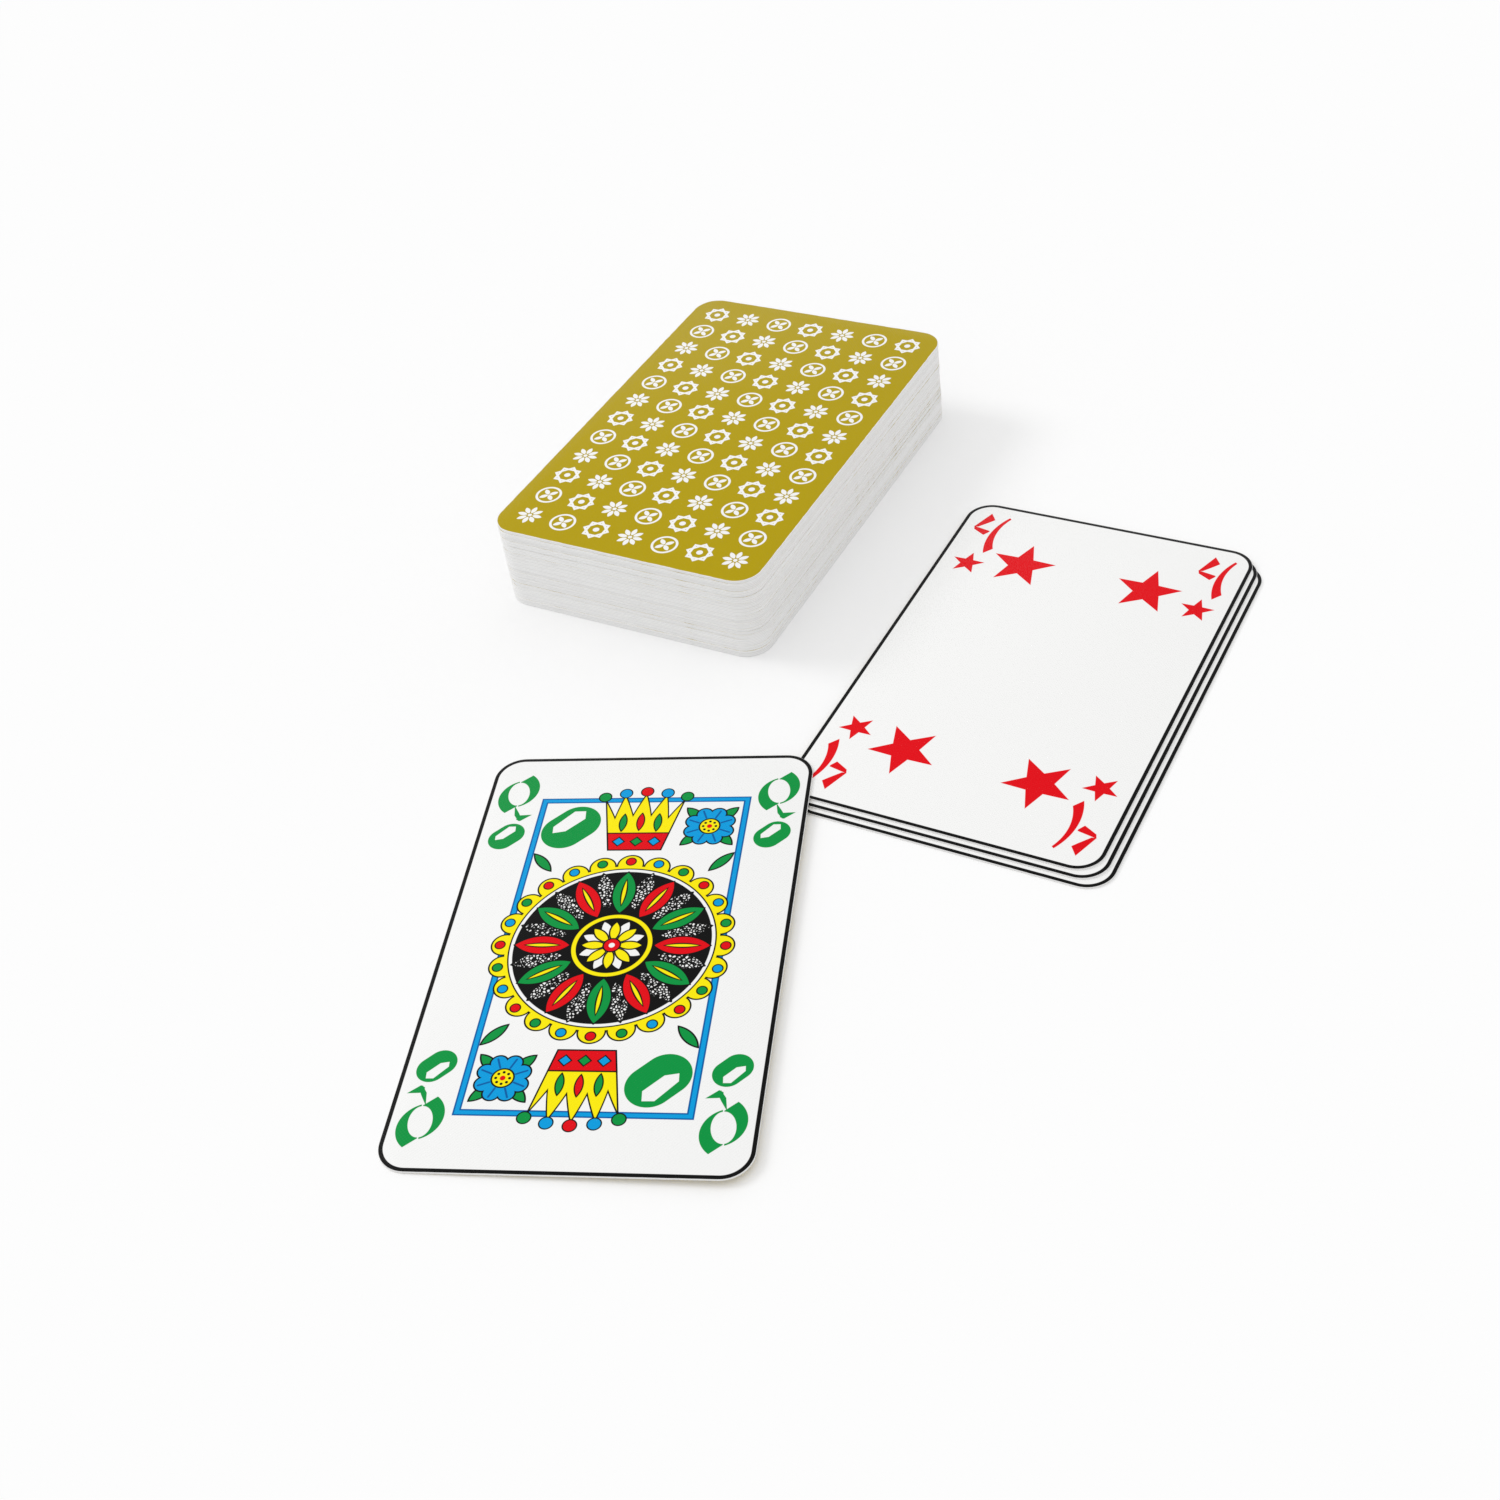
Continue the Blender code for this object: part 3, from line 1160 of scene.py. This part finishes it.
def die_tree():
    tree = bpy.data.node_groups.new("card_die", "GeometryNodeTree")
    for name, (kind, _) in DIE_INPUTS.items():
        tree.interface.new_socket(name, in_out="INPUT", socket_type=kind)
    tree.interface.new_socket("Card", in_out="OUTPUT", socket_type="NodeSocketGeometry")
    size = add_node(tree, "NodeGroupInput").outputs

    blank = add_blank(tree, size)
    sockets = {"Mesh": blank, "Offset Scale": size["Thickness"], "Individual": False}
    raised = add_node(tree, "GeometryNodeExtrudeMesh", {"mode": "FACES"}, sockets)
    under = add_node(tree, "GeometryNodeFlipFaces", None, {"Mesh": blank})
    sockets = {"Geometry": under.outputs[0], "Material": size["Back"]}
    under = add_node(tree, "GeometryNodeSetMaterial", None, sockets)
    joined = add_node(tree, "GeometryNodeJoinGeometry")
    tree.links.new(under.outputs[0], joined.inputs[0])
    tree.links.new(raised.outputs["Mesh"], joined.inputs[0])
    sockets = {"Geometry": joined.outputs[0], "Distance": WELD_DISTANCE}
    welded = add_node(tree, "GeometryNodeMergeByDistance", None, sockets)

    solid = add_node(tree, "GeometryNodeRealizeInstances", None, {"Geometry": welded.outputs[0]})
    sockets = {"Geometry": solid.outputs[0], "Selection": raised.outputs["Top"], "Material": size["Face"]}
    card = add_node(tree, "GeometryNodeSetMaterial", None, sockets)
    add_node(tree, "NodeGroupOutput", None, {"Card": card.outputs[0]})
    return tree


card_die = die_tree()
print("the die has", len(card_die.nodes), "nodes")

# %% [markdown]
# A print has to know its place on the card, and a cut edge its card's shade. Finishes could read the
# object's coordinates, but those belong to the table, while cards lie there turned and face down. So every
# point stores its place in millimetres before the card is laid down, and the shade. The small round of the
# rim takes the finish of the edge.

# %% What the finishes read
FLAT_ENOUGH = 0.99
SMOOTH_ANGLE = radians(25.0)


def finish_mesh(mesh, shade):
    """Gives the rounded rim to the edge's finish, and stores what the finishes read."""
    edge_slot = mesh.materials.find(cut_edge.name)
    for side in mesh.polygons:
        if abs(side.normal.z) < FLAT_ENOUGH:
            side.material_index = edge_slot
    places = np.empty(len(mesh.vertices) * 3, np.float32)
    mesh.vertices.foreach_get("co", places)
    stored = mesh.attributes.new(PLACE_ATTRIBUTE, "FLOAT_VECTOR", "POINT")
    stored.data.foreach_set("vector", places / MM)
    stored = mesh.attributes.new(SHADE_ATTRIBUTE, "FLOAT", "POINT")
    stored.data.foreach_set("value", np.full(len(mesh.vertices), shade, np.float32))
    mesh.shade_smooth()
    mesh.set_sharp_from_angle(angle=SMOOTH_ANGLE)


print("attributes of a card:", PLACE_ATTRIBUTE, SHADE_ATTRIBUTE)

# %% [markdown]
# A punched rim isn't sharp: the blade rounds it a little. That round could be a step of the die's tree,
# but a Bevel modifier after it is made for the job. The result is turned into a plain mesh, and the object
# that carried both modifiers is thrown away.

# %% Punch one card
RIM_ROUND = 0.03 * MM
RIM_STEPS = 2
RIM_ANGLE = radians(60.0)


def punch_card(name, face, shade):
    """A finished card around the origin, face up, as a plain mesh."""
    worked = bpy.data.objects.new(name, bpy.data.meshes.new(name))
    bpy.context.scene.collection.objects.link(worked)
    die = worked.modifiers.new("die", "NODES")
    die.node_group = card_die
    for item in card_die.interface.items_tree:
        if item.in_out == "INPUT":
            die[item.identifier] = face if item.name == "Face" else DIE_INPUTS[item.name][1]
    rounding = worked.modifiers.new("rounding", "BEVEL")
    rounding.width = RIM_ROUND
    rounding.segments = RIM_STEPS
    rounding.limit_method = "ANGLE"
    rounding.angle_limit = RIM_ANGLE

    evaluated = worked.evaluated_get(bpy.context.evaluated_depsgraph_get())
    mesh = bpy.data.meshes.new_from_object(evaluated)
    bpy.data.objects.remove(worked)
    finish_mesh(mesh, shade)
    return mesh


print("rims are rounded by", RIM_ROUND / MM, "mm")

# %% [markdown]
# Each card lies where its solid lies. Its place could be written down here, but it would be wrong as soon
# as a pile moves, so it is measured too: the solid's middle and its three directions make the card's
# matrix. A direction has two ways to point, and the sign has to be chosen. Along runs away from the
# player, and through runs up from a card that lies face up, or down from one face down.


# %% Where a card lies
def card_place(node, face_up):
    """The matrix that takes a card from the origin to the place of a solid."""
    middle, _, (along, _, through) = spread_of(node)
    along = Vector(along if along[1] > 0 else -along)
    through = Vector(through if (through[2] > 0) == face_up else -through)
    turn = Matrix((along.cross(through), along, through)).transposed()
    return Matrix.Translation(Vector(middle)) @ turn.to_4x4()


court_middle = card_place(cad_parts["court_card"], True).translation
print("the court card's middle, in mm:", [round(value / MM, 2) for value in court_middle])

# %% [markdown]
# The pile could be one block with stripes on it, but cards are dealt one by one, so each is its own piece
# on its own body. The top of the discard pile is the four of stars. The faces of the other cards come by
# turns from the number cards: they are seen only when cards move.

# %% Lay out the cards
SHADE_SEED = 5
shades = Random(SHADE_SEED)
spare_faces = [face for kind, face in number_faces.items() if kind != ("stars", 4)]
shown_faces = {
    "court_card": court_print,
    "discard_card_1": number_faces["stars", 4],
    "discard_card_2": number_faces["stars", 7],
    "discard_card_3": number_faces["rings", 4],
}


def lay_card(number, node_name):
    face_up = node_name in shown_faces
    face = shown_faces.get(node_name, spare_faces[number % len(spare_faces)])
    mesh = punch_card(f"{node_name}_printed", face, shades.random())
    mesh.transform(card_place(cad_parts[node_name], face_up))
    card = bpy.data.objects.new(f"{node_name}_printed", mesh)
    bpy.context.scene.collection.objects.link(card)
    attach(card, node_name)
    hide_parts(node_name)
    return card


cards = [lay_card(number, node_name) for number, node_name in enumerate(sorted(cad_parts))]
print("cards laid out:", len(cards), "with", len(cards[0].data.polygons), "faces each")
